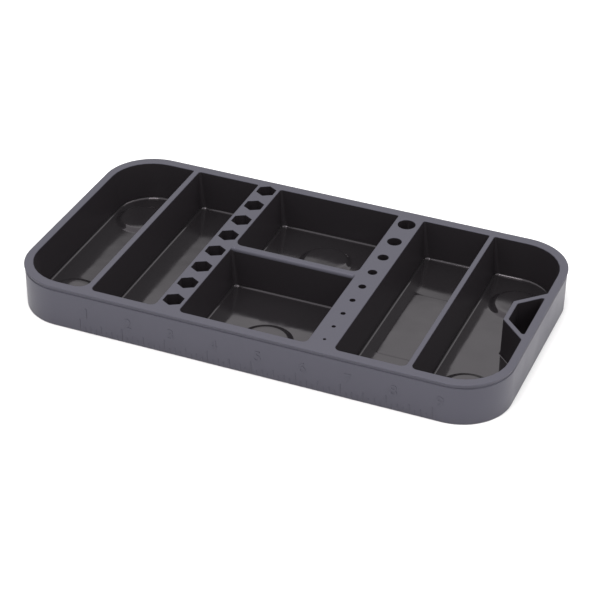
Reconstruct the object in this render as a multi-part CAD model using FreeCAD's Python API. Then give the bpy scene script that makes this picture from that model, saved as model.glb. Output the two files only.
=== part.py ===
import FreeCAD, Part
import math
import os

# Parts sorting tray: one thin-walled moulding with six compartments, a bit bar, a drill bar,
# a trapezoid pocket and an inch scale, with disc magnets and non-slip discs under the floor.
# Frame: origin at the middle of the footprint, on the surface the tray stands on.
# +X runs along the length to the pocket end, +Y to the back, +Z up. Millimetres.

# ---------------------------------------------------------------- driving dimensions
# overall
TRAY_LENGTH = 283.0          # over the lip
TRAY_WIDTH = 152.0           # over the lip
TRAY_HEIGHT = 25.4
CORNER_RADIUS = 29.5         # lip corner, seen from above

# rim and skirt
END_RIM = 4.5                # lip edge to compartment edge, at the two ends
SIDE_RIM = 5.7               # the same at the front and the back
LIP_HEIGHT = 0.8
LIP_EDGE = 0.4               # rounding of the lip's top edge
LIP_OVERHANG = 0.4           # the lip stands out from the top of the skirt
GROOVE_HEIGHT = 1.8          # shadow groove under the lip
GROOVE_DEPTH = 0.5           # measured from the top of the skirt
SKIRT_TAPER = 0.2            # how much further in the foot of the skirt is
WALL = 1.9                   # nominal wall of the moulding
DECK = 2.2                   # thickness of the rim's top
CORE_CORNER = 0.8            # corners of the pockets under dividers and bars
CORE_TIP = 1.8               # narrowest such pocket

# compartments
WALL_LEAN = 6.9              # degrees of draft on every compartment wall
FLOOR_THICKNESS = 1.9
BASE_GAP = 0.6               # under the floor, down to the foot of the skirt
FOOT_FILLET = 1.5            # between wall and floor
BACK_CORNER = 2.6            # vertical corners at the back of a compartment
FRONT_CORNER = 3.4           # and at the front
LEFT_END_ROOM = 41.8         # widths of the compartments at the top, from left to right
LEFT_ROOM = 38.5
RIGHT_ROOM = 39.7
RIGHT_END_ROOM = 44.6        # the two middle ones take what is left
LEFT_DIVIDER = 3.3           # thicknesses at the top
RIGHT_DIVIDER = 2.8
CROSS_DIVIDER = 5.2
CROSS_DIVIDER_Y = 2.6        # its middle

# bit bar
BIT_BAR = 14.1               # width at the top
BIT_COUNT = 8
BIT_ACROSS_FLATS = 10.4
BIT_PITCH = 18.0
BIT_ROW_Y = 2.2              # middle of the row

# drill bar
DRILL_BAR = 15.3
DRILL_SIZES = (10.0, 8.0, 6.0, 5.0, 4.0, 3.0, 2.5, 2.0, 1.5)    # from the back to the front
DRILL_FIRST_Y = 62.3         # middle of the largest one
DRILL_GAP = 11.2             # web between two neighbours
DRILL_CLEARANCE = 0.25       # on each diameter

SOCKET_DEPTH = 15.0
SOCKET_FLOOR = 2.0

# trapezoid pocket against the right end
POCKET_WALL = 2.7
POCKET_DEPTH = 14.7          # from the right end's compartment edge to the pocket's outer face
POCKET_SHORT = 18.6          # length of that face
POCKET_ANGLE = 45.0          # between its slanted sides and the tray's length
POCKET_Y = 1.25              # its middle

# magnets under the floor
MAGNET_FROM_END = 25.3         # outer columns of magnets, from the lip
MAGNET_MIDDLE_X = 1.5          # middle column
MAGNET_ROWS = (("back", 40.5), ("front", -47.0))
MAGNET_RADIUS = 10.0
MAGNET_HEIGHT = 2.0
PAD_RADIUS = 12.5            # non-slip disc under the magnet, down to the table
SEAT_CLEARANCE = 0.15        # around the magnet
SEAT_TOP_RADIUS = 12.0       # raised seat in the floor above
SEAT_FOOT_RADIUS = 15.4
SEAT_RISE = 1.6

# inch scale moulded on the front skirt
INCH = 25.4
SCALE_INCHES = 8             # from the first mark to the last
SCALE_START_X = -96.3        # the first mark
SCALE_STEPS = 8              # marks per inch
MARK_WIDTH = 0.5
MARK_PROUD = 0.2
MARK_FOOT = 0.8              # lower end of the marks above the table
MARK_LENGTHS = {8: 7.5, 4: 5.5, 2: 4.0, 1: 2.8}    # inch, half, quarter, eighth

# ---------------------------------------------------------------- worked out from them
HALF_LENGTH = TRAY_LENGTH / 2
HALF_WIDTH = TRAY_WIDTH / 2
ROOM_LEFT = -HALF_LENGTH + END_RIM
ROOM_RIGHT = HALF_LENGTH - END_RIM
ROOM_FRONT = -HALF_WIDTH + SIDE_RIM
ROOM_BACK = HALF_WIDTH - SIDE_RIM
ROOM_CORNER = CORNER_RADIUS - END_RIM
FLOOR = BASE_GAP + FLOOR_THICKNESS
LIP_FOOT = TRAY_HEIGHT - LIP_HEIGHT
MAGNET_COLUMNS = (-HALF_LENGTH + MAGNET_FROM_END, MAGNET_MIDDLE_X, HALF_LENGTH - MAGNET_FROM_END)
SKIRT_TOP = LIP_FOOT - GROOVE_HEIGHT
LEAN = math.tan(math.radians(WALL_LEAN))
FOOT_INSET = (TRAY_HEIGHT - FLOOR) * LEAN
# a flat floor starts here, inside the foot fillet and clear of the rounded corners
FLOOR_INSET = FOOT_INSET + max(FOOT_FILLET, 0.75 * FRONT_CORNER)
BIG = 4 * max(TRAY_LENGTH, TRAY_WIDTH)
EPS = 1.0                    # how far cutting tools run past a face

# x of every wall's two edges at the top, from left to right
LEFT_DIVIDER_X = (ROOM_LEFT + LEFT_END_ROOM, ROOM_LEFT + LEFT_END_ROOM + LEFT_DIVIDER)
BIT_BAR_X = (LEFT_DIVIDER_X[1] + LEFT_ROOM, LEFT_DIVIDER_X[1] + LEFT_ROOM + BIT_BAR)
RIGHT_DIVIDER_X = (ROOM_RIGHT - RIGHT_END_ROOM - RIGHT_DIVIDER, ROOM_RIGHT - RIGHT_END_ROOM)
DRILL_BAR_X = (RIGHT_DIVIDER_X[0] - RIGHT_ROOM - DRILL_BAR, RIGHT_DIVIDER_X[0] - RIGHT_ROOM)
CROSS_Y = (CROSS_DIVIDER_Y - CROSS_DIVIDER / 2, CROSS_DIVIDER_Y + CROSS_DIVIDER / 2)

# compartments: edges at the top, then the radii of the corners
# front-left, front-right, back-right, back-left
ROOMS = {
    "left_end": (ROOM_LEFT, LEFT_DIVIDER_X[0], ROOM_FRONT, ROOM_BACK,
                 (ROOM_CORNER, FRONT_CORNER, BACK_CORNER, ROOM_CORNER)),
    "left": (LEFT_DIVIDER_X[1], BIT_BAR_X[0], ROOM_FRONT, ROOM_BACK,
             (FRONT_CORNER, FRONT_CORNER, BACK_CORNER, BACK_CORNER)),
    "middle_back": (BIT_BAR_X[1], DRILL_BAR_X[0], CROSS_Y[1], ROOM_BACK,
                    (FRONT_CORNER, FRONT_CORNER, BACK_CORNER, BACK_CORNER)),
    "middle_front": (BIT_BAR_X[1], DRILL_BAR_X[0], ROOM_FRONT, CROSS_Y[0],
                     (FRONT_CORNER, FRONT_CORNER, BACK_CORNER, BACK_CORNER)),
    "right": (DRILL_BAR_X[1], RIGHT_DIVIDER_X[0], ROOM_FRONT, ROOM_BACK,
              (FRONT_CORNER, FRONT_CORNER, BACK_CORNER, BACK_CORNER)),
    "right_end": (RIGHT_DIVIDER_X[1], ROOM_RIGHT, ROOM_FRONT, ROOM_BACK,
                  (FRONT_CORNER, ROOM_CORNER, ROOM_CORNER, BACK_CORNER)),
}


# ---------------------------------------------------------------- shape helpers
def point(x, y, z=0.0):
    return FreeCAD.Vector(x, y, z)


def outline(x0, x1, y0, y1, radii, z):
    """Closed wire of a rectangle whose four corners have their own radii."""
    corners = ((x0, y0, 1, 1, 180), (x1, y0, -1, 1, 270), (x1, y1, -1, -1, 0), (x0, y1, 1, -1, 90))
    arcs = []
    for (x, y, inward_x, inward_y, start), radius in zip(corners, radii):
        centre = point(x + inward_x * radius, y + inward_y * radius, z)
        circle = Part.Circle(centre, point(0, 0, 1), radius)
        arcs.append(Part.Arc(circle, math.radians(start), math.radians(start + 90)).toShape())
    edges = []
    for number, arc in enumerate(arcs):
        following = arcs[(number + 1) % 4]
        edges.append(arc)
        edges.append(Part.makeLine(arc.Vertexes[-1].Point, following.Vertexes[0].Point))
    return Part.Wire(edges)


def polygon_prism(points, z0, z1):
    wire = Part.makePolygon([point(x, y, z0) for x, y in points] + [point(*points[0], z0)])
    return Part.Face(wire).extrude(point(0, 0, z1 - z0))


def block(x0, x1, y0, y1, z0=-EPS, z1=TRAY_HEIGHT + EPS):
    return Part.makeBox(x1 - x0, y1 - y0, z1 - z0, point(x0, y0, z0))


def plate(inset, z):
    """The lip's outline, moved inwards."""
    half_x = HALF_LENGTH - inset
    half_y = HALF_WIDTH - inset
    return outline(-half_x, half_x, -half_y, half_y, (CORNER_RADIUS - inset,) * 4, z)


def lean_radius(radius, inset):
    """A large corner stays concentric as the wall leans in, and a small one keeps its radius."""
    return radius - inset if radius > 3 * FRONT_CORNER else radius


def room_section(room, grow, z):
    x0, x1, y0, y1, radii = room
    inset = (TRAY_HEIGHT - z) * LEAN - grow
    return outline(x0 + inset, x1 - inset, y0 + inset, y1 - inset,
                   tuple(lean_radius(radius, inset) for radius in radii), z)


def room_body(room, grow, z0, z1):
    """The space of a compartment between two heights, its walls grown outwards by grow."""
    return Part.makeLoft([room_section(room, grow, z0), room_section(room, grow, z1)], True, True)


def at_height(edge, z):
    return all(abs(vertex.Point.z - z) < 1e-4 for vertex in edge.Vertexes)


# ---------------------------------------------------------------- the moulding
def pocket_body(wall, z0, z1):
    """The pocket's outer body where wall is 0, or its inside where it is the wall."""
    slope = math.tan(math.radians(POCKET_ANGLE))
    x_short = ROOM_RIGHT - POCKET_DEPTH + wall
    short_half = POCKET_SHORT / 2 - wall * math.tan(math.radians(POCKET_ANGLE / 2))
    wires = []
    for z in (z0, z1):
        x_end = ROOM_RIGHT - (TRAY_HEIGHT - z) * LEAN if wall else ROOM_RIGHT + END_RIM / 2
        long_half = short_half + slope * (x_end - x_short)
        corners = [point(x_end, POCKET_Y - long_half, z), point(x_end, POCKET_Y + long_half, z),
                   point(x_short, POCKET_Y + short_half, z), point(x_short, POCKET_Y - short_half, z)]
        wires.append(Part.makePolygon(corners + corners[:1]))
    return Part.makeLoft(wires, True, True)


def room_cavity(name):
    """What the compartment takes out of the moulding, with its foot rounded."""
    cavity = room_body(ROOMS[name], 0.0, FLOOR, TRAY_HEIGHT + EPS)
    foot = [edge for edge in cavity.Edges if at_height(edge, FLOOR)]
    cavity = cavity.makeFillet(FOOT_FILLET, foot)
    if name == "right_end":
        cavity = cavity.cut(pocket_body(0.0, FLOOR - EPS, TRAY_HEIGHT + 2 * EPS))
    return cavity


def outer_body():
    """Skirt, groove and lip as one solid."""
    sections = [plate(LIP_OVERHANG + SKIRT_TAPER, 0.0), plate(LIP_OVERHANG, SKIRT_TOP)]
    skirt = Part.makeLoft(sections, True, True)
    neck = Part.Face(plate(LIP_OVERHANG + GROOVE_DEPTH, SKIRT_TOP)).extrude(point(0, 0, GROOVE_HEIGHT))
    lip = Part.Face(plate(0.0, LIP_FOOT)).extrude(point(0, 0, LIP_HEIGHT))
    lip = lip.makeFillet(LIP_EDGE, [edge for edge in lip.Edges if at_height(edge, TRAY_HEIGHT)])
    return skirt.fuse([neck, lip]).removeSplitter()


def core(x0, x1, y0, y1, z1):
    """Tapered pocket from below, WALL inside the compartments on both sides of it."""
    radii = (CORE_CORNER,) * 4
    wires = []
    for z in (BASE_GAP, z1):
        inset = (TRAY_HEIGHT - z) * LEAN - WALL
        wires.append(outline(x0 - inset, x1 + inset, y0 - inset, y1 + inset, radii, z))
    return Part.makeLoft(wires, True, True)


def divider_core_top(thickness):
    """How high the pocket inside a divider goes before it gets too narrow."""
    return TRAY_HEIGHT - max(DECK, (CORE_TIP / 2 + WALL - thickness / 2) / LEAN)


def underside_hollows():
    """The open spaces under the floor, the rim, the dividers and the bars."""
    top = TRAY_HEIGHT - DECK
    skirt_inside = [plate(LIP_OVERHANG + SKIRT_TAPER + WALL, 0.0), plate(LIP_OVERHANG + WALL, top)]
    rim = Part.makeLoft(skirt_inside, True, True)
    all_rooms = (ROOM_LEFT, ROOM_RIGHT, ROOM_FRONT, ROOM_BACK, (ROOM_CORNER,) * 4)
    rim = rim.cut(room_body(all_rooms, WALL, BASE_GAP, TRAY_HEIGHT + EPS))
    # pockets stop one wall short of the rim's hollow, whose inner side leans like the compartments
    front = ROOM_FRONT + 2 * TRAY_HEIGHT * LEAN
    back = ROOM_BACK - 2 * TRAY_HEIGHT * LEAN
    socket_base = TRAY_HEIGHT - SOCKET_DEPTH - SOCKET_FLOOR
    cross_x = (BIT_BAR_X[1] + 2 * TRAY_HEIGHT * LEAN, DRILL_BAR_X[0] - 2 * TRAY_HEIGHT * LEAN)
    return [
        rim,
        core(*LEFT_DIVIDER_X, front, back, divider_core_top(LEFT_DIVIDER)),
        core(*RIGHT_DIVIDER_X, front, back, divider_core_top(RIGHT_DIVIDER)),
        core(*cross_x, *CROSS_Y, divider_core_top(CROSS_DIVIDER)),
        core(*BIT_BAR_X, front, back, socket_base),
        core(*DRILL_BAR_X, front, back, socket_base),
    ]


def bit_sockets():
    """Hexagonal blind holes, two corners of each pointing to the front and the back."""
    x = sum(BIT_BAR_X) / 2
    corner_radius = BIT_ACROSS_FLATS / math.sqrt(3)
    first_y = BIT_ROW_Y + BIT_PITCH * (BIT_COUNT - 1) / 2
    holes = []
    for number in range(BIT_COUNT):
        y = first_y - number * BIT_PITCH
        corners = []
        for corner in range(6):
            angle = math.radians(90 + 60 * corner)
            corners.append((x + corner_radius * math.cos(angle), y + corner_radius * math.sin(angle)))
        holes.append(polygon_prism(corners, TRAY_HEIGHT - SOCKET_DEPTH, TRAY_HEIGHT + EPS))
    return holes


def drill_sockets():
    """Round blind holes, each one web further forward than its neighbour."""
    x = sum(DRILL_BAR_X) / 2
    y = DRILL_FIRST_Y
    holes = []
    for number, size in enumerate(DRILL_SIZES):
        if number:
            y -= DRILL_SIZES[number - 1] / 2 + DRILL_GAP + size / 2
        radius = (size + DRILL_CLEARANCE) / 2
        base = point(x, y, TRAY_HEIGHT - SOCKET_DEPTH)
        holes.append(Part.makeCylinder(radius, SOCKET_DEPTH + EPS, base))
    return holes


def magnet_places():
    for column, x in zip(("left", "middle", "right"), MAGNET_COLUMNS):
        for row, y in MAGNET_ROWS:
            yield f"{column}_{row}", x, y


def raised_seats():
    return [Part.makeCone(SEAT_FOOT_RADIUS, SEAT_TOP_RADIUS, SEAT_RISE, point(x, y, FLOOR))
            for _, x, y in magnet_places()]


def magnet_recesses():
    radius = MAGNET_RADIUS + SEAT_CLEARANCE
    return [Part.makeCylinder(radius, MAGNET_HEIGHT + EPS, point(x, y, BASE_GAP - EPS))
            for _, x, y in magnet_places()]


def skirt_y(z):
    """Front face of the skirt at a height."""
    return -(HALF_WIDTH - LIP_OVERHANG - SKIRT_TAPER * (SKIRT_TOP - z) / SKIRT_TOP)


def scale_marks():
    """Raised lines of the inch scale, the longest at each inch."""
    marks = []
    for step in range(SCALE_INCHES * SCALE_STEPS + 1):
        divides = [size for size in MARK_LENGTHS if step % size == 0]
        length = MARK_LENGTHS[max(divides)]
        x = SCALE_START_X + step * INCH / SCALE_STEPS
        z0 = MARK_FOOT
        z1 = MARK_FOOT + length
        profile = [point(x - MARK_WIDTH / 2, skirt_y(z0) - MARK_PROUD, z0),
                   point(x - MARK_WIDTH / 2, skirt_y(z1) - MARK_PROUD, z1),
                   point(x - MARK_WIDTH / 2, skirt_y(z1) + WALL / 2, z1),
                   point(x - MARK_WIDTH / 2, skirt_y(z0) + WALL / 2, z0)]
        face = Part.Face(Part.makePolygon(profile + profile[:1]))
        marks.append(face.extrude(point(MARK_WIDTH, 0, 0)))
    return marks


def moulding():
    shell = outer_body().cut(underside_hollows())
    shell = shell.cut([room_cavity(name) for name in ROOMS])
    shell = shell.cut(pocket_body(POCKET_WALL, FLOOR, TRAY_HEIGHT + EPS))
    shell = shell.cut(bit_sockets() + drill_sockets())
    shell = shell.fuse(raised_seats() + scale_marks())
    return shell.cut(magnet_recesses())


# ---------------------------------------------------------------- its parts, face to face
def floor_zone(name):
    """The flat floor of a compartment, up to just above its raised seats."""
    x0, x1, y0, y1, radii = ROOMS[name]
    corners = tuple(radius - FLOOR_INSET if radius > 3 * FRONT_CORNER else 0.01 for radius in radii)
    wire = outline(x0 + FLOOR_INSET, x1 - FLOOR_INSET, y0 + FLOOR_INSET, y1 - FLOOR_INSET, corners, -EPS)
    return Part.Face(wire).extrude(point(0, 0, EPS + FLOOR + SEAT_RISE + 0.01))


def pocket_zone():
    """The pocket's walls above the floor, as far as the foot of the end wall."""
    inward = block(-BIG, ROOM_RIGHT - FLOOR_INSET, -BIG, BIG, z0=FLOOR)
    return pocket_body(0.0, -EPS, TRAY_HEIGHT + EPS).common(inward)


def wall_zones():
    """Plan boxes that share out everything that isn't floor or pocket."""
    front = ROOM_FRONT + FLOOR_INSET
    back = ROOM_BACK - FLOOR_INSET
    corner_x = ROOM_RIGHT - ROOM_CORNER
    corner_front = ROOM_FRONT + ROOM_CORNER
    corner_back = ROOM_BACK - ROOM_CORNER
    bit = (BIT_BAR_X[0] - FLOOR_INSET, BIT_BAR_X[1] + FLOOR_INSET)
    drill = (DRILL_BAR_X[0] - FLOOR_INSET, DRILL_BAR_X[1] + FLOOR_INSET)
    zones = {
        "left_end_wall": (-BIG, ROOM_LEFT + FLOOR_INSET, corner_front, corner_back),
        "right_end_wall": (ROOM_RIGHT - FLOOR_INSET, BIG, corner_front, corner_back),
        "left_front_corner": (-BIG, -corner_x, -BIG, corner_front),
        "left_back_corner": (-BIG, -corner_x, corner_back, BIG),
        "right_front_corner": (corner_x, BIG, -BIG, corner_front),
        "right_back_corner": (corner_x, BIG, corner_back, BIG),
        "bit_bar": (*bit, -BIG, BIG),
        "drill_bar": (*drill, -BIG, BIG),
        "cross_divider": (bit[1], drill[0], CROSS_Y[0] - FLOOR_INSET, CROSS_Y[1] + FLOOR_INSET),
        "left_divider": (LEFT_DIVIDER_X[0] - FLOOR_INSET, LEFT_DIVIDER_X[1] + FLOOR_INSET, front, back),
        "right_divider": (RIGHT_DIVIDER_X[0] - FLOOR_INSET, RIGHT_DIVIDER_X[1] + FLOOR_INSET, front, back),
    }
    spans = {"left": (-corner_x, bit[0]), "middle": (bit[1], drill[0]), "right": (drill[1], corner_x)}
    for side, span in spans.items():
        zones[f"front_rim_{side}"] = (*span, -BIG, front)
        zones[f"back_rim_{side}"] = (*span, back, BIG)
    return zones


def moulding_nodes(shell):
    floors = {name: floor_zone(name) for name in ROOMS}
    nodes = {}
    for name, zone in floors.items():
        slab = zone
        if name == "right_end":
            slab = zone.cut(pocket_zone())
        nodes[f"{name}_floor"] = shell.common(slab)
    nodes["pocket_wall"] = shell.common(pocket_zone())
    for name, bounds in wall_zones().items():
        zone = block(*bounds)
        if name.endswith("corner"):
            zone = zone.cut(floors["left_end" if name.startswith("left") else "right_end"])
        nodes[name] = shell.common(zone)
    return nodes


# ---------------------------------------------------------------- fitted pieces
def fitted_nodes():
    nodes = {}
    for place, x, y in magnet_places():
        nodes[f"magnet_{place}"] = Part.makeCylinder(MAGNET_RADIUS, MAGNET_HEIGHT, point(x, y, BASE_GAP))
        nodes[f"grip_disc_{place}"] = Part.makeCylinder(PAD_RADIUS, BASE_GAP, point(x, y, 0))
    return nodes


def main():
    os.makedirs("parts", exist_ok=True)
    nodes = moulding_nodes(moulding())
    nodes.update(fitted_nodes())
    for name, shape in nodes.items():
        solids = shape.Solids
        print(f"{name:24s} solids {len(solids)} volume {shape.Volume:9.1f} valid {shape.isValid()}")
        result = solids[0] if len(solids) == 1 else Part.makeCompound(solids)
        result.exportStep(f"parts/{name}.step")


main()
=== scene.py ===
import math

import bmesh
import bpy
from mathutils import Matrix, Vector


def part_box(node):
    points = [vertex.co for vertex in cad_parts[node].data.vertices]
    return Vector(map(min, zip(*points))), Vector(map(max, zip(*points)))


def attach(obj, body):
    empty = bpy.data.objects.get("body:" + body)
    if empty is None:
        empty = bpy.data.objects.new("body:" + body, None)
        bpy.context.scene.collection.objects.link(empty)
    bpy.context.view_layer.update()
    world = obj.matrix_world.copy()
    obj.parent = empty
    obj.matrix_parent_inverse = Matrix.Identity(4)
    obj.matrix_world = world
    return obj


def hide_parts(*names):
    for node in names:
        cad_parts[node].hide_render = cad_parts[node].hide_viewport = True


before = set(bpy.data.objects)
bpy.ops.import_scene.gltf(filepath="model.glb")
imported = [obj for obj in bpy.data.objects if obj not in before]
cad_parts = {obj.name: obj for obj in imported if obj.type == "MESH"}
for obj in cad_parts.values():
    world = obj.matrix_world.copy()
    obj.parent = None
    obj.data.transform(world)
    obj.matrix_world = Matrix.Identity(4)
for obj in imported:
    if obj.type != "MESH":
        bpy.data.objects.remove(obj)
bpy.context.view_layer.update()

# Parts sorting tray. The shell is one moulding, so it is one continuous mesh here, made of loops
# that run round each compartment, socket, pocket and the outside. Lengths are in millimetres and
# turn to metres when a mesh is made.
MM = 0.001

# ---------------------------------------------------------------- sizes shared with the frame
WALL_LEAN = math.tan(math.radians(6.9))
FLOOR_THICKNESS = 1.9
FOOT_FILLET = 1.5
WALL = 1.9
DECK = 2.2
LIP_HEIGHT = 0.8
LIP_OVERHANG = 0.4
GROOVE_HEIGHT = 1.8
GROOVE_DEPTH = 0.5
SKIRT_TAPER = 0.2
FRONT_CORNER = 3.4           # vertical corners at the front of a compartment
FLOOR_CLEARANCE = 0.75 * FRONT_CORNER      # a floor node ends this far inside the wall's foot
BIT_COUNT = 8
BIT_ACROSS_FLATS = 10.4
BIT_PITCH = 18.0
BIT_ROW_Y = 2.2
DRILL_SIZES = (10.0, 8.0, 6.0, 5.0, 4.0, 3.0, 2.5, 2.0, 1.5)
DRILL_FIRST_Y = 62.3
DRILL_GAP = 11.2
DRILL_CLEARANCE = 0.25
SOCKET_DEPTH = 15.0
SOCKET_FLOOR = 2.0
POCKET_WALL = 2.7
POCKET_DEPTH = 14.7
POCKET_SHORT = 18.6
POCKET_ANGLE = math.radians(45)
POCKET_Y = 1.25
POCKET_LEAN = 0.08           # share of the compartment walls' lean that the pocket's sides have
POCKET_FILLET = 0.9
SEAT_RISE = 1.6
SEAT_FOOT_RADIUS = 15.8
SEAT_TOP_RADIUS = 11.6
SEAT_CLEARANCE = 0.15
CORE_CORNER = 0.8
CORE_TIP = 1.8
INCH = 25.4
SCALE_INCHES = 8
SCALE_START_X = -96.3
SCALE_STEPS = 8
MARK_WIDTH = 0.5
MARK_PROUD = 0.2
MARK_FOOT = 0.8
MARK_LENGTHS = {8: 7.5, 4: 5.5, 2: 4.0, 1: 2.8}
NUMERAL_SIZE = 9.0
NUMERAL_Z = 9.6              # foot of the numerals
NUMERAL_SHIFT = 1.6          # to the right of their mark
PANEL_X0 = 60.0              # low panel on the right compartment's floor
PANEL_Y = (-33.6, 29.6)
PANEL_CORNER = 1.2


def low(node, axis):
    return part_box(node)[0][axis] / MM


def high(node, axis):
    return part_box(node)[1][axis] / MM


HEIGHT = high("bit_bar", 2)
BASE_GAP = low("left_floor", 2)
FLOOR = BASE_GAP + FLOOR_THICKNESS
LIP_FOOT = HEIGHT - LIP_HEIGHT
SKIRT_TOP = LIP_FOOT - GROOVE_HEIGHT
FOOT_INSET = (HEIGHT - FLOOR) * WALL_LEAN
FLOOR_INSET = FOOT_INSET + FLOOR_CLEARANCE
HALF_LENGTH = high("right_end_wall", 0)
HALF_WIDTH = high("back_rim_middle", 1)
ROOM_LEFT = high("left_end_wall", 0) - FLOOR_INSET
ROOM_RIGHT = low("right_end_wall", 0) + FLOOR_INSET
ROOM_FRONT = high("front_rim_left", 1) - FLOOR_INSET
ROOM_BACK = low("back_rim_left", 1) + FLOOR_INSET
END_RIM = HALF_LENGTH - ROOM_RIGHT
CORNER_RADIUS = HALF_LENGTH - low("right_front_corner", 0)
ROOM_CORNER = CORNER_RADIUS - END_RIM


def top_edges(node, axis):
    """Where a divider's or bar's two sides meet the top of the tray."""
    return low(node, axis) + FLOOR_INSET, high(node, axis) - FLOOR_INSET


LEFT_DIVIDER = top_edges("left_divider", 0)
BIT_BAR = top_edges("bit_bar", 0)
DRILL_BAR = top_edges("drill_bar", 0)
RIGHT_DIVIDER = top_edges("right_divider", 0)
CROSS_DIVIDER = top_edges("cross_divider", 1)

# roundings that only the eye meets
EDGE = 0.45                  # where a compartment wall meets the top
CROSS_EDGE = 2.2             # the cross divider has a nearly half-round top
LIP_ROUND = 0.4              # outer edge of the rim
BACK_CORNER = 1.2
FLARED_CORNER = 6.5          # root of the left divider in the end compartment
POCKET_EDGE_CORNER = 1.0
POCKET_ROOT_CORNER = 2.2
SOCKET_EDGE = 0.22
LEAST_RADIUS = 0.3
CORNER_OPENING = 0.7         # growth of a small corner's radius per millimetre of lean
EDGE_STEPS = 5               # rings round a rounded edge


# ---------------------------------------------------------------- loops
def turn(corners, number):
    """Signed angle by which a loop turns at a corner, positive to the left."""
    before = Vector(corners[number][:2]) - Vector(corners[number - 1][:2])
    after = Vector(corners[(number + 1) % len(corners)][:2]) - Vector(corners[number][:2])
    return -before.angle_signed(after)


def radius_at(radius, inset, angle):
    """Corner radius when the sides have moved in: large corners stay concentric, small ones open
    out towards the floor."""
    if angle < 0:
        return max(radius + inset, LEAST_RADIUS)
    if radius > 3 * FRONT_CORNER or inset < 0:
        return max(radius - inset, LEAST_RADIUS)
    beyond = max(inset - FOOT_INSET, 0.0)
    return max(radius + CORNER_OPENING * (inset - beyond) - beyond, LEAST_RADIUS)


def ring(corners, insets, heights, arc_steps=8, side_steps=4):
    """Closed loop of points. Side n, from corner n to the next, is moved inwards by insets[n] and
    lies at heights[n]. Every ring of one outline has the same number of points."""
    count = len(corners)
    sides = []
    for number in range(count):
        start = Vector(corners[number][:2])
        along = (Vector(corners[(number + 1) % count][:2]) - start).normalized()
        inward = Vector((-along.y, along.x))
        sides.append((start + inward * insets[number], along, inward))
    arcs = []
    for number in range(count):
        before, along_before, inward_before = sides[number - 1]
        after, along_after, _ = sides[number]
        angle = turn(corners, number)
        gap = after - before
        reach = gap.cross(along_after) / along_before.cross(along_after)
        corner = before + along_before * reach
        mean_inset = (insets[number - 1] + insets[number]) / 2
        radius = radius_at(corners[number][2], mean_inset, angle)
        tangent = radius * math.tan(abs(angle) / 2)
        sense = 1 if angle > 0 else -1
        centre = corner - along_before * tangent + inward_before * radius * sense
        first = -inward_before * sense
        points = []
        for step in range(arc_steps + 1):
            share = step / arc_steps
            spoke = first.copy()
            spoke.rotate(Matrix.Rotation(angle * share, 2))
            height = heights[number - 1] * (1 - share) + heights[number] * share
            points.append(Vector((*(centre + spoke * radius), height)))
        arcs.append(points)
    loop = []
    for number in range(count):
        loop.extend(arcs[number])
        start = arcs[number][-1]
        end = arcs[(number + 1) % count][0]
        loop.extend(start.lerp(end, step / side_steps) for step in range(1, side_steps))
    return loop


def rectangle(x0, x1, y0, y1, radii):
    """Corners front-left, front-right, back-right, back-left, each with its radius."""
    return [(x, y, radius) for (x, y), radius in zip(((x0, y0), (x1, y0), (x1, y1), (x0, y1)), radii)]


PLATE = rectangle(-HALF_LENGTH, HALF_LENGTH, -HALF_WIDTH, HALF_WIDTH, (CORNER_RADIUS,) * 4)


def plate_ring(inset, z):
    """The tray's outline at the lip, moved inwards."""
    return ring(PLATE, (inset,) * 4, (z,) * 4, 20, 12)


def circle(x, y, radius, z, steps=48):
    return [Vector((x + radius * math.cos(math.tau * n / steps),
                    y + radius * math.sin(math.tau * n / steps), z)) for n in range(steps)]


class Skin:
    """A mesh that grows by loops. Each part of it names the finish that it gets."""

    def __init__(self, finishes):
        self.mesh = bmesh.new()
        self.finishes = finishes
        self.finish = 0

    def use(self, finish):
        self.finish = self.finishes.index(finish)

    def loop(self, points):
        return [self.mesh.verts.new(Vector(point) * MM) for point in points]

    def band(self, upper, lower):
        """Quads between two loops of as many points."""
        count = len(upper)
        for n in range(count):
            face = self.mesh.faces.new((upper[n], upper[(n + 1) % count],
                                        lower[(n + 1) % count], lower[n]))
            face.material_index = self.finish
            face.smooth = True

    def stack(self, loops):
        """Bands through a list of loops of points. Returns the first and the last one's vertices."""
        made = [self.loop(points) for points in loops]
        for upper, lower in zip(made, made[1:]):
            self.band(upper, lower)
        return made[0], made[-1]

    def fill(self, outer, holes=()):
        """A flat face inside one loop of vertices and outside the others."""
        edges = []
        for loop in (outer, *holes):
            for n, vertex in enumerate(loop):
                following = loop[(n + 1) % len(loop)]
                edges.append(self.mesh.edges.get((vertex, following))
                             or self.mesh.edges.new((vertex, following)))
        made = bmesh.ops.triangle_fill(self.mesh, use_beauty=True, use_dissolve=False, edges=edges)
        for face in made["geom"]:
            if isinstance(face, bmesh.types.BMFace):
                face.material_index = self.finish
                face.smooth = True

    def finish_object(self, name, materials, weighted=True):
        bmesh.ops.recalc_face_normals(self.mesh, faces=self.mesh.faces)
        mesh = bpy.data.meshes.new(name)
        self.mesh.to_mesh(mesh)
        self.mesh.free()
        piece = bpy.data.objects.new(name, mesh)
        bpy.context.scene.collection.objects.link(piece)
        for material in materials:
            mesh.materials.append(material)
        if weighted:
            normals = piece.modifiers.new("flat faces stay flat", "WEIGHTED_NORMAL")
            normals.weight = 100
            normals.keep_sharp = True
        return piece


# ---------------------------------------------------------------- profiles down a wall
def top_rounding(radius, steps=EDGE_STEPS):
    """(how far out, how far down) of a rounded edge, from the flat top to the wall."""
    for step in range(steps + 1):
        angle = math.pi / 2 * step / steps
        yield radius * (1 - math.sin(angle)), radius * (1 - math.cos(angle))


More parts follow.
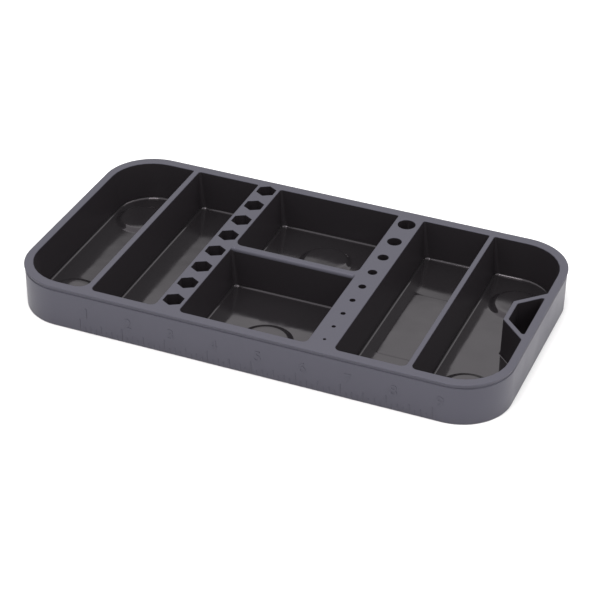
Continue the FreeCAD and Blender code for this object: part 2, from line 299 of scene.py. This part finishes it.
def wall_rings(corners, edges, leans, fillets, floor_z, **steps):
    """Rings from the top face over the rounded edge, down the wall and round its foot."""
    rings = []
    for share_out, share_down in top_rounding(1.0):
        insets = [share_down * edge * lean * WALL_LEAN - share_out * edge
                  for edge, lean in zip(edges, leans)]
        heights = [HEIGHT - share_down * edge for edge in edges]
        rings.append(ring(corners, insets, heights, **steps))
    foot_steps = 6
    for step in range(foot_steps + 1):
        insets = []
        heights = []
        for lean, fillet in zip(leans, fillets):
            slope = lean * WALL_LEAN
            slant = math.atan(slope)
            centre_z = floor_z + fillet
            centre_inset = (HEIGHT - centre_z) * slope + fillet / math.cos(slant)
            angle = slant + (math.pi / 2 - slant) * step / foot_steps
            insets.append(centre_inset - fillet * math.cos(angle))
            heights.append(centre_z - fillet * math.sin(angle))
        rings.append(ring(corners, insets, heights, **steps))
    return rings


# ---------------------------------------------------------------- outlines of the spaces
def room(x0, x1, y0, y1, radii, edges=(EDGE,) * 4):
    return {"corners": rectangle(x0, x1, y0, y1, radii), "edges": edges,
            "leans": (1.0,) * 4, "fillets": (FOOT_FILLET,) * 4}


def pocket_points(wall):
    """Place of the pocket's short side, and half the lengths of its short and long sides."""
    slope = math.tan(POCKET_ANGLE)
    x_short = ROOM_RIGHT - POCKET_DEPTH + wall
    short_half = POCKET_SHORT / 2 - wall * math.tan(POCKET_ANGLE / 2)
    return x_short, short_half, short_half + slope * (ROOM_RIGHT - x_short)


def right_end_room():
    """The right end compartment, whose outline goes round the pocket."""
    x_short, short_half, long_half = pocket_points(0.0)
    x0 = RIGHT_DIVIDER[1]
    corners = [
        (x0, ROOM_FRONT, FRONT_CORNER),
        (ROOM_RIGHT, ROOM_FRONT, ROOM_CORNER),
        (ROOM_RIGHT, POCKET_Y - long_half, POCKET_ROOT_CORNER),
        (x_short, POCKET_Y - short_half, POCKET_EDGE_CORNER),
        (x_short, POCKET_Y + short_half, POCKET_EDGE_CORNER),
        (ROOM_RIGHT, POCKET_Y + long_half, POCKET_ROOT_CORNER),
        (ROOM_RIGHT, ROOM_BACK, ROOM_CORNER),
        (x0, ROOM_BACK, BACK_CORNER),
    ]
    return {"corners": corners, "edges": (EDGE,) * 8,
            "leans": (1.0,) * 2 + (POCKET_LEAN,) * 3 + (1.0,) * 3,
            "fillets": (FOOT_FILLET,) * 2 + (POCKET_FILLET,) * 3 + (FOOT_FILLET,) * 3}


def pocket_space():
    x_short, short_half, long_half = pocket_points(POCKET_WALL)
    corners = [
        (x_short, POCKET_Y - short_half, 1.6),
        (ROOM_RIGHT, POCKET_Y - long_half, 1.0),
        (ROOM_RIGHT, POCKET_Y + long_half, 1.0),
        (x_short, POCKET_Y + short_half, 1.6),
    ]
    return {"corners": corners, "edges": (EDGE,) * 4,
            "leans": (POCKET_LEAN, 1.0, POCKET_LEAN, POCKET_LEAN),
            "fillets": (POCKET_FILLET, 1.6, POCKET_FILLET, POCKET_FILLET)}


def rooms():
    small = (FRONT_CORNER, FRONT_CORNER, BACK_CORNER, BACK_CORNER)
    return {
        "left_end": room(ROOM_LEFT, LEFT_DIVIDER[0], ROOM_FRONT, ROOM_BACK,
                         (ROOM_CORNER, FLARED_CORNER, BACK_CORNER, ROOM_CORNER)),
        "left": room(LEFT_DIVIDER[1], BIT_BAR[0], ROOM_FRONT, ROOM_BACK, small),
        "middle_back": room(BIT_BAR[1], DRILL_BAR[0], CROSS_DIVIDER[1], ROOM_BACK, small,
                            edges=(CROSS_EDGE, EDGE, EDGE, EDGE)),
        "middle_front": room(BIT_BAR[1], DRILL_BAR[0], ROOM_FRONT, CROSS_DIVIDER[0], small,
                             edges=(EDGE, EDGE, CROSS_EDGE, EDGE)),
        "right": {**room(DRILL_BAR[1], RIGHT_DIVIDER[0], ROOM_FRONT, ROOM_BACK, small),
                  "panel": rectangle(PANEL_X0, RIGHT_DIVIDER[0] - FLOOR_INSET, *PANEL_Y,
                                     (PANEL_CORNER,) * 4)},
        "right_end": right_end_room(),
    }


def magnet_places():
    for node in sorted(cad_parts):
        if node.startswith("magnet_"):
            lowest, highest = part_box(node)
            x = (lowest[0] + highest[0]) / 2 / MM
            y = (lowest[1] + highest[1]) / 2 / MM
            yield node, x, y


def inside(x, y, outline):
    xs = [corner[0] for corner in outline]
    ys = [corner[1] for corner in outline]
    return min(xs) < x < max(xs) and min(ys) < y < max(ys)


# ---------------------------------------------------------------- the shell
def raised_seat(skin, x, y):
    """Round seat over a magnet: it swells out of the floor and has a faintly dished top."""
    steps = 8
    loops = []
    for step in range(steps + 1):
        share = step / steps
        rise = share * share * (3 - 2 * share)
        radius = SEAT_FOOT_RADIUS + (SEAT_TOP_RADIUS - SEAT_FOOT_RADIUS) * share
        loops.append(circle(x, y, radius, FLOOR + SEAT_RISE * rise, 64))
    for radius, dish in ((9.0, 0.03), (6.0, 0.06), (3.0, 0.08)):
        loops.append(circle(x, y, radius, FLOOR + SEAT_RISE - dish, 64))
    outer, inner = skin.stack(loops)
    skin.fill(inner)
    return outer


def raised_panel(skin, corners):
    """Barely raised rectangle that an insert in the mould leaves on the floor."""
    sides = (0.0, 0.15, 0.45)
    heights = (0.0, 0.16, 0.22)
    outer, inner = skin.stack([ring(corners, (inset,) * 4, (FLOOR + rise,) * 4, 4, 4)
                               for inset, rise in zip(sides, heights)])
    skin.fill(inner)
    return outer


def compartment(skin, space, seats):
    """Walls and floor of one compartment. Returns the loop where it meets the top of the tray."""
    rings = wall_rings(space["corners"], space["edges"], space["leans"], space["fillets"], FLOOR)
    edge_rings = EDGE_STEPS + 1
    skin.use("rim")
    mouth, wall_top = skin.stack(rings[:edge_rings])
    # the walls get the wall finish, whose dark base colour is painted shade
    skin.use("wall")
    wall = [wall_top] + [skin.loop(points) for points in rings[edge_rings:]]
    for upper, lower in zip(wall, wall[1:]):
        skin.band(upper, lower)
        skin.use("floor")        # from the fillet on, after the wall's one straight band
    holes = [raised_seat(skin, x, y) for x, y in seats]
    if space.get("panel"):
        holes.append(raised_panel(skin, space["panel"]))
    skin.fill(wall[-1], holes)
    return mouth


def bit_socket(skin, x, y):
    """Hexagonal blind hole with two of its corners to the front and the back."""
    radius = BIT_ACROSS_FLATS / math.sqrt(3)
    corners = [(x + radius * math.cos(math.radians(30 + 60 * n)),
                y + radius * math.sin(math.radians(30 + 60 * n)), 0.35) for n in range(6)]
    return blind_hole(skin, lambda inset, z: ring(corners, (inset,) * 6, (z,) * 6, 3, 2))


def drill_socket(skin, x, y, size):
    radius = (size + DRILL_CLEARANCE) / 2
    return blind_hole(skin, lambda inset, z: circle(x, y, radius - inset, z, 40))


def blind_hole(skin, loop_at):
    """Rounded mouth, straight wall and flat bottom."""
    loops = [loop_at(-SOCKET_EDGE * out, HEIGHT - SOCKET_EDGE * down)
             for out, down in top_rounding(1.0, 3)]
    loops.append(loop_at(0.1, HEIGHT - SOCKET_DEPTH))
    skin.use("rim")
    mouth, edge = skin.stack(loops[:-1])
    # the socket's wall and bottom get the wall finish, whose dark base colour is painted shade inside the
    # hole
    skin.use("wall")
    bottom = skin.loop(loops[-1])
    skin.band(edge, bottom)
    skin.fill(bottom)
    return mouth


def outside(skin):
    """Lip, shadow groove and skirt down to the foot. Returns the loops at the top and the foot."""
    profile = [(out, HEIGHT - down) for out, down in top_rounding(LIP_ROUND, 7)]
    profile += [(0.0, LIP_FOOT + 0.3), (0.09, LIP_FOOT + 0.09), (0.3, LIP_FOOT)]
    neck = LIP_OVERHANG + GROOVE_DEPTH
    profile += [(neck - 0.1, LIP_FOOT - 0.02), (neck, LIP_FOOT - 0.12), (neck, SKIRT_TOP + 0.1)]
    for out, down in top_rounding(GROOVE_DEPTH, 4):
        profile.append((LIP_OVERHANG + out, SKIRT_TOP - down))
    foot = LIP_OVERHANG + SKIRT_TAPER
    profile += [(foot, 0.6), (foot + 0.15, 0.15), (foot + 0.6, 0.0)]
    skin.use("skirt")
    return skin.stack([plate_ring(inset, z) for inset, z in profile])


def rim_hollow(skin, foot):
    """The channel under the rim, open below. Returns the edge of the floor's underside."""
    top = HEIGHT - DECK
    skirt_side = [(LIP_OVERHANG + SKIRT_TAPER + WALL, 0.0), (LIP_OVERHANG + WALL, top)]
    envelope = rectangle(ROOM_LEFT, ROOM_RIGHT, ROOM_FRONT, ROOM_BACK, (ROOM_CORNER,) * 4)
    inner_loops = []
    for z in (top, BASE_GAP):
        inset = (HEIGHT - z) * WALL_LEAN - WALL
        inner_loops.append(ring(envelope, (inset,) * 4, (z,) * 4, 20, 12))
    skin.use("underside")
    outer_foot, outer_top = skin.stack([plate_ring(inset, z) for inset, z in skirt_side])
    inner_top, inner_foot = skin.stack(inner_loops)
    skin.band(foot, outer_foot)
    skin.band(outer_top, inner_top)
    return inner_foot


def core(skin, x0, x1, y0, y1, top):
    """Tapered pocket from below, inside a divider or under a bar."""
    corners = rectangle(x0, x1, y0, y1, (CORE_CORNER,) * 4)
    loops = []
    for z in (BASE_GAP, top):
        inset = -((HEIGHT - z) * WALL_LEAN - WALL)
        loops.append(ring(corners, (inset,) * 4, (z,) * 4, 4, 2))
    skin.use("underside")
    mouth, end = skin.stack(loops)
    skin.fill(end)
    return mouth


def cores(skin):
    front = ROOM_FRONT + 2 * HEIGHT * WALL_LEAN
    back = ROOM_BACK - 2 * HEIGHT * WALL_LEAN
    cross = (BIT_BAR[1] + 2 * HEIGHT * WALL_LEAN, DRILL_BAR[0] - 2 * HEIGHT * WALL_LEAN)
    socket_base = HEIGHT - SOCKET_DEPTH - SOCKET_FLOOR

    def divider_top(edges):
        return HEIGHT - max(DECK, (CORE_TIP / 2 + WALL - (edges[1] - edges[0]) / 2) / WALL_LEAN)

    return [
        core(skin, *LEFT_DIVIDER, front, back, divider_top(LEFT_DIVIDER)),
        core(skin, *RIGHT_DIVIDER, front, back, divider_top(RIGHT_DIVIDER)),
        core(skin, *cross, *CROSS_DIVIDER, divider_top(CROSS_DIVIDER)),
        core(skin, *BIT_BAR, front, back, socket_base),
        core(skin, *DRILL_BAR, front, back, socket_base),
    ]


def magnet_recess(skin, x, y):
    """Round recess from below for a magnet."""
    top = high("magnet_middle_back", 2)
    radius = (high("magnet_middle_back", 0) - low("magnet_middle_back", 0)) / 2 + SEAT_CLEARANCE
    skin.use("underside")
    mouth, end = skin.stack([circle(x, y, radius, BASE_GAP), circle(x, y, radius, top)])
    skin.fill(end)
    return mouth


def tray_shell(finishes):
    skin = Skin(list(finishes))
    mouths = []
    places = list(magnet_places())
    for space in rooms().values():
        seats = [(x, y) for _, x, y in places if inside(x, y, space["corners"])]
        mouths.append(compartment(skin, space, seats))
    mouths.append(compartment(skin, pocket_space(), ()))
    bit_x = sum(BIT_BAR) / 2
    for number in range(BIT_COUNT):
        y = BIT_ROW_Y + BIT_PITCH * ((BIT_COUNT - 1) / 2 - number)
        mouths.append(bit_socket(skin, bit_x, y))
    drill_x = sum(DRILL_BAR) / 2
    y = DRILL_FIRST_Y
    for number, size in enumerate(DRILL_SIZES):
        if number:
            y -= DRILL_SIZES[number - 1] / 2 + DRILL_GAP + size / 2
        mouths.append(drill_socket(skin, drill_x, y, size))
    lip, foot = outside(skin)
    skin.use("rim")
    skin.fill(lip, mouths)
    plate_edge = rim_hollow(skin, foot)
    holes = cores(skin) + [magnet_recess(skin, x, y) for _, x, y in places]
    skin.use("underside")
    skin.fill(plate_edge, holes)
    return skin.finish_object("tray_shell", finishes.values())


# ---------------------------------------------------------------- inch scale
def skirt_y(z):
    return -(HALF_WIDTH - LIP_OVERHANG - SKIRT_TAPER * (SKIRT_TOP - z) / SKIRT_TOP)


def inch_marks(finish):
    """Raised lines, the longest at each inch, with softened edges."""
    skin = Skin(["skirt"])
    for step in range(SCALE_INCHES * SCALE_STEPS + 1):
        length = MARK_LENGTHS[max(size for size in MARK_LENGTHS if step % size == 0)]
        x = SCALE_START_X + step * INCH / SCALE_STEPS
        z0 = MARK_FOOT
        z1 = MARK_FOOT + length
        loops = []
        for proud, shrink in ((-0.3, 0.0), (0.6 * MARK_PROUD, 0.0), (MARK_PROUD, 0.12)):
            half = MARK_WIDTH / 2 - shrink
            loops.append([(x - half, skirt_y(z0) - proud, z0 + shrink),
                          (x + half, skirt_y(z0) - proud, z0 + shrink),
                          (x + half, skirt_y(z1) - proud, z1 - shrink),
                          (x - half, skirt_y(z1) - proud, z1 - shrink)])
        back, front = skin.stack(loops)
        skin.fill(back)
        skin.fill(front)
    return skin.finish_object("inch_marks", [finish], weighted=False)


def inch_number(value, finish):
    """A raised numeral beside its inch mark, lying on the slanted skirt."""
    text = bpy.data.curves.new(f"numeral_{value}", "FONT")
    text.body = str(value)
    text.size = NUMERAL_SIZE * MM
    text.extrude = 0.15 * MM
    text.bevel_depth = 0.06 * MM
    text.bevel_resolution = 1
    source = bpy.data.objects.new(f"numeral_{value}", text)
    mesh = bpy.data.meshes.new_from_object(source)
    bpy.data.objects.remove(source)
    mesh.name = f"numeral_{value}"
    slant = math.atan(SKIRT_TAPER / SKIRT_TOP)
    x = SCALE_START_X + (value - 1) * INCH + NUMERAL_SHIFT
    place = Matrix.Translation(Vector((x, skirt_y(NUMERAL_Z), NUMERAL_Z)) * MM)
    mesh.transform(place @ Matrix.Rotation(math.pi / 2 + slant, 4, "X"))
    piece = bpy.data.objects.new(f"numeral_{value}", mesh)
    bpy.context.scene.collection.objects.link(piece)
    mesh.materials.clear()
    mesh.materials.append(finish)
    return piece


# ---------------------------------------------------------------- fitted pieces
def disc_piece(name, node, edge, finish):
    """A turned disc with softened edges that stands for a CAD disc."""
    lowest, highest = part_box(node)
    x = (lowest[0] + highest[0]) / 2 / MM
    y = (lowest[1] + highest[1]) / 2 / MM
    radius = (highest[0] - lowest[0]) / 2 / MM
    z0 = lowest[2] / MM
    z1 = highest[2] / MM
    profile = [(radius * 0.5, z0), (radius - edge, z0), (radius - 0.3 * edge, z0 + 0.3 * edge),
               (radius, z0 + edge), (radius, z1 - edge), (radius - 0.3 * edge, z1 - 0.3 * edge),
               (radius - edge, z1), (radius * 0.5, z1)]
    skin = Skin(["disc"])
    first, last = skin.stack([circle(x, y, r, z, 72) for r, z in profile])
    skin.fill(first)
    skin.fill(last)
    return skin.finish_object(name, [finish])


# ---------------------------------------------------------------- finishes
def colour(text):
    """sRGB hex to a linear colour."""
    channels = [int(text[n:n + 2], 16) / 255 for n in (1, 3, 5)]
    linear = [c / 12.92 if c <= 0.04045 else ((c + 0.055) / 1.055) ** 2.4 for c in channels]
    return (*linear, 1.0)


def add(tree, kind, links=None, **settings):
    """Adds a node. links gives a socket a value or another node's output."""
    node = tree.nodes.new(kind)
    for name, value in settings.items():
        setattr(node, name, value)
    for socket, value in (links or {}).items():
        if isinstance(value, bpy.types.NodeSocket):
            tree.links.new(value, node.inputs[socket])
        else:
            node.inputs[socket].default_value = value
    return node


def new_material(name):
    material = bpy.data.materials.new(name)
    material.use_nodes = True
    material.node_tree.nodes.clear()
    return material, material.node_tree


def surface(tree, shader):
    add(tree, "ShaderNodeOutputMaterial", {"Surface": shader.outputs[0]})


def etched_polypropylene():
    """Black polypropylene from a mould with a fine etched face: satin, with a soft sheen and a
    faint cloudiness where the melt flowed."""
    material, tree = new_material("etched_polypropylene")
    place = add(tree, "ShaderNodeTexCoord")
    cloud = add(tree, "ShaderNodeTexNoise", {"Vector": place.outputs["Object"], "Scale": 35.0,
                                             "Detail": 3.0, "Roughness": 0.55})
    tint = add(tree, "ShaderNodeMix", {0: cloud.outputs["Fac"], 6: colour("#403f47"),
                                       7: colour("#43424a")}, data_type="RGBA")
    # the etch is 0.05 mm fine, drawn at 0.5 mm so that it shows
    etch = add(tree, "ShaderNodeTexNoise", {"Vector": place.outputs["Object"], "Scale": 2000.0,
                                            "Detail": 2.0})
    relief = add(tree, "ShaderNodeBump", {"Height": etch.outputs["Fac"], "Strength": 0.12,
                                          "Distance": 0.0002})
    rough = add(tree, "ShaderNodeMapRange", {"Value": cloud.outputs["Fac"], "From Min": 0.3,
                                             "From Max": 0.7, "To Min": 0.40, "To Max": 0.50})
    shader = add(tree, "ShaderNodeBsdfPrincipled", {
        "Base Color": tint.outputs[2], "Roughness": rough.outputs[0], "IOR": 1.49,
        "Specular Tint": colour("#ecebff"), "Normal": relief.outputs[0]})
    surface(tree, shader)
    return material


def polished_polypropylene():
    """The same plastic from the polished cores of the mould: a dark mirror that is slightly wavy,
    because thick and thin places shrink unevenly."""
    material, tree = new_material("polished_polypropylene")
    place = add(tree, "ShaderNodeTexCoord")
    sink = add(tree, "ShaderNodeTexNoise", {"Vector": place.outputs["Object"], "Scale": 45.0,
                                            "Detail": 2.0})
    relief = add(tree, "ShaderNodeBump", {"Height": sink.outputs["Fac"], "Strength": 0.35,
                                          "Distance": 0.00025})
    haze = add(tree, "ShaderNodeTexNoise", {"Vector": place.outputs["Object"], "Scale": 60.0,
                                            "Detail": 4.0})
    rough = add(tree, "ShaderNodeMapRange", {"Value": haze.outputs["Fac"], "From Min": 0.3,
                                             "From Max": 0.7, "To Min": 0.07, "To Max": 0.13})
    shader = add(tree, "ShaderNodeBsdfPrincipled", {
        "Base Color": colour("#1d1b1d"), "Roughness": rough.outputs[0], "IOR": 1.49,
        "Specular Tint": colour("#fff6ff"), "Normal": relief.outputs[0]})
    surface(tree, shader)
    return material


def drawn_polypropylene():
    """Compartment walls and socket insides: smooth, but dulled and very finely scored upwards where the
    moulding slides off the core. Their base colour is darker than the etched rim's: painted shade
    for the shade inside the compartments and sockets, which keeps them nearly black."""
    material, tree = new_material("drawn_polypropylene")
    place = add(tree, "ShaderNodeTexCoord")
    # scoring drawn 0.7 mm apart, coarser than the real one, and 17 mm long
    stretch = add(tree, "ShaderNodeMapping", {"Vector": place.outputs["Object"],
                                              "Scale": (1500.0, 1500.0, 60.0)})
    score = add(tree, "ShaderNodeTexNoise", {"Vector": stretch.outputs["Vector"], "Scale": 1.0,
                                             "Detail": 2.0})
    relief = add(tree, "ShaderNodeBump", {"Height": score.outputs["Fac"], "Strength": 0.08,
                                          "Distance": 0.0001})
    # the dark base colour is painted shade for the inside of the compartments and sockets
    shader = add(tree, "ShaderNodeBsdfPrincipled", {
        "Base Color": colour("#232023"), "Roughness": 0.4, "IOR": 1.49, "Specular IOR Level": 0.3,
        "Normal": relief.outputs[0]})
    surface(tree, shader)
    return material


def sintered_ferrite():
    """Ceramic magnet, pressed and sintered: dark grey, matt and faintly grainy."""
    material, tree = new_material("sintered_ferrite")
    place = add(tree, "ShaderNodeTexCoord")
    grain = add(tree, "ShaderNodeTexNoise", {"Vector": place.outputs["Object"], "Scale": 1500.0,
                                             "Detail": 3.0})
    tint = add(tree, "ShaderNodeMix", {0: grain.outputs["Fac"], 6: colour("#38383a"),
                                       7: colour("#4a4a4c")}, data_type="RGBA")
    relief = add(tree, "ShaderNodeBump", {"Height": grain.outputs["Fac"], "Strength": 0.2,
                                          "Distance": 0.0001})
    shader = add(tree, "ShaderNodeBsdfPrincipled", {
        "Base Color": tint.outputs[2], "Roughness": 0.55, "Metallic": 0.3,
        "Normal": relief.outputs[0]})
    surface(tree, shader)
    return material


def sheet_rubber():
    """Punched sheet rubber with a fabric-pressed face: dead matt, with fine ribs."""
    material, tree = new_material("sheet_rubber")
    place = add(tree, "ShaderNodeTexCoord")
    # ribs about 2 mm apart: a wave is tau / 20 / scale metres long
    threads = add(tree, "ShaderNodeTexWave", {"Vector": place.outputs["Object"],
                                              "Scale": 1000.0 / math.tau, "Distortion": 0.0})
    speck = add(tree, "ShaderNodeTexNoise", {"Vector": place.outputs["Object"], "Scale": 900.0})
    relief = add(tree, "ShaderNodeBump", {"Height": threads.outputs["Fac"], "Strength": 0.3,
                                          "Distance": 0.0002})
    tint = add(tree, "ShaderNodeMix", {0: speck.outputs["Fac"], 6: colour("#232323"),
                                       7: colour("#2d2d2e")}, data_type="RGBA")
    shader = add(tree, "ShaderNodeBsdfPrincipled", {
        "Base Color": tint.outputs[2], "Roughness": 0.85, "Normal": relief.outputs[0]})
    surface(tree, shader)
    return material


def bench_top():
    """Plain pale floor."""
    material, tree = new_material("pale_floor")
    shader = add(tree, "ShaderNodeBsdfPrincipled", {"Base Color": colour("#f6f6f6"), "Roughness": 0.6,
                                                    "Specular IOR Level": 0.2})
    surface(tree, shader)
    return material


# ---------------------------------------------------------------- assembly
def settle(piece, slot_name, *nodes):
    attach(piece, "root")
    if nodes:
        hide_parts(*nodes)


def build_tray():
    etched = etched_polypropylene()
    polished = polished_polypropylene()
    # the wall finish's dark base colour is painted shade
    finishes = {"rim": etched, "wall": drawn_polypropylene(), "floor": polished, "skirt": etched,
                "underside": etched}
    shell = tray_shell(finishes)
    moulding = [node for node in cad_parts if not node.startswith(("magnet_", "grip_disc_"))]
    settle(shell, "moulded_shell", *moulding)
    settle(inch_marks(etched), "moulded_shell")
    for value in range(1, SCALE_INCHES + 2):
        settle(inch_number(value, etched), "moulded_shell")
    ferrite = sintered_ferrite()
    rubber = sheet_rubber()
    for node in sorted(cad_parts):
        if node.startswith("magnet_"):
            settle(disc_piece(f"disc_{node}", node, 0.3, ferrite), "magnet_ferrite", node)
        if node.startswith("grip_disc_"):
            settle(disc_piece(f"soft_{node}", node, 0.12, rubber), "grip_rubber", node)


def build_stage():
    floor = Skin(["floor"])
    half = 3000.0
    drop = -0.05                 # just under the tray, so that the two do not flicker
    floor.fill(floor.loop([(-half, -half, drop), (half, -half, drop), (half, half, drop),
                           (-half, half, drop)]))
    floor.finish_object("floor", [bench_top()], weighted=False)

    world = bpy.data.worlds.new("studio")
    bpy.context.scene.world = world
    world.use_nodes = True
    tree = world.node_tree
    # The studio is dim up to about 32 degrees above the bench and bright from 34 degrees on. The
    # heights are sines of those angles.
    place = add(tree, "ShaderNodeTexCoord")
    height = add(tree, "ShaderNodeSeparateXYZ", {"Vector": place.outputs["Generated"]})
    light = add(tree, "ShaderNodeMapRange", {"Value": height.outputs["Z"], "From Min": 0.524,
                                             "From Max": 0.556, "To Min": 0.65, "To Max": 1.55})
    background = tree.nodes["Background"]
    background.inputs["Color"].default_value = (1.0, 1.0, 1.0, 1.0)
    tree.links.new(light.outputs["Result"], background.inputs["Strength"])

    softbox("overhead_softbox", azimuth=180, elevation=72, distance=1.2, size=(0.42, 0.26), radiance=17.0)
    softbox("side_softbox", azimuth=75, elevation=35, distance=1.3, size=(0.7, 0.5), radiance=3.0)


def softbox(name, azimuth, elevation, distance, size, radiance, tint=(1.0, 0.97, 0.96)):
    """Rectangular lamp that faces the tray. Azimuth is counted from the back to the right."""
    around = math.radians(azimuth)
    up = math.radians(elevation)
    aim = Vector((math.sin(around) * math.cos(up), math.cos(around) * math.cos(up), math.sin(up)))
    light = bpy.data.lights.new(name, "AREA")
    light.shape = "RECTANGLE"
    light.size, light.size_y = size
    light.energy = radiance * math.pi * size[0] * size[1]
    light.color = tint
    lamp = bpy.data.objects.new(name, light)
    lamp.location = aim * distance
    lamp.rotation_euler = aim.to_track_quat("Z", "Y").to_euler()
    bpy.context.scene.collection.objects.link(lamp)


def build_camera():
    camera = bpy.data.cameras.new("camera")
    camera.lens = 119.36
    camera.sensor_width = 36.0
    camera.clip_end = 20.0
    seat = bpy.data.objects.new("camera", camera)
    place = Vector((0.3519, -0.8631, 0.6143))
    target = Vector((0.0084, -0.0149, 0.0115))
    aim = (target - place).to_track_quat("-Z", "Y").to_matrix().to_4x4()
    roll = Matrix.Rotation(math.radians(0.806), 4, "Z")
    seat.matrix_world = Matrix.Translation(place) @ aim @ roll
    bpy.context.scene.collection.objects.link(seat)
    bpy.context.scene.camera = seat
    bpy.context.scene.view_settings.view_transform = "Standard"


build_tray()
build_stage()
build_camera()
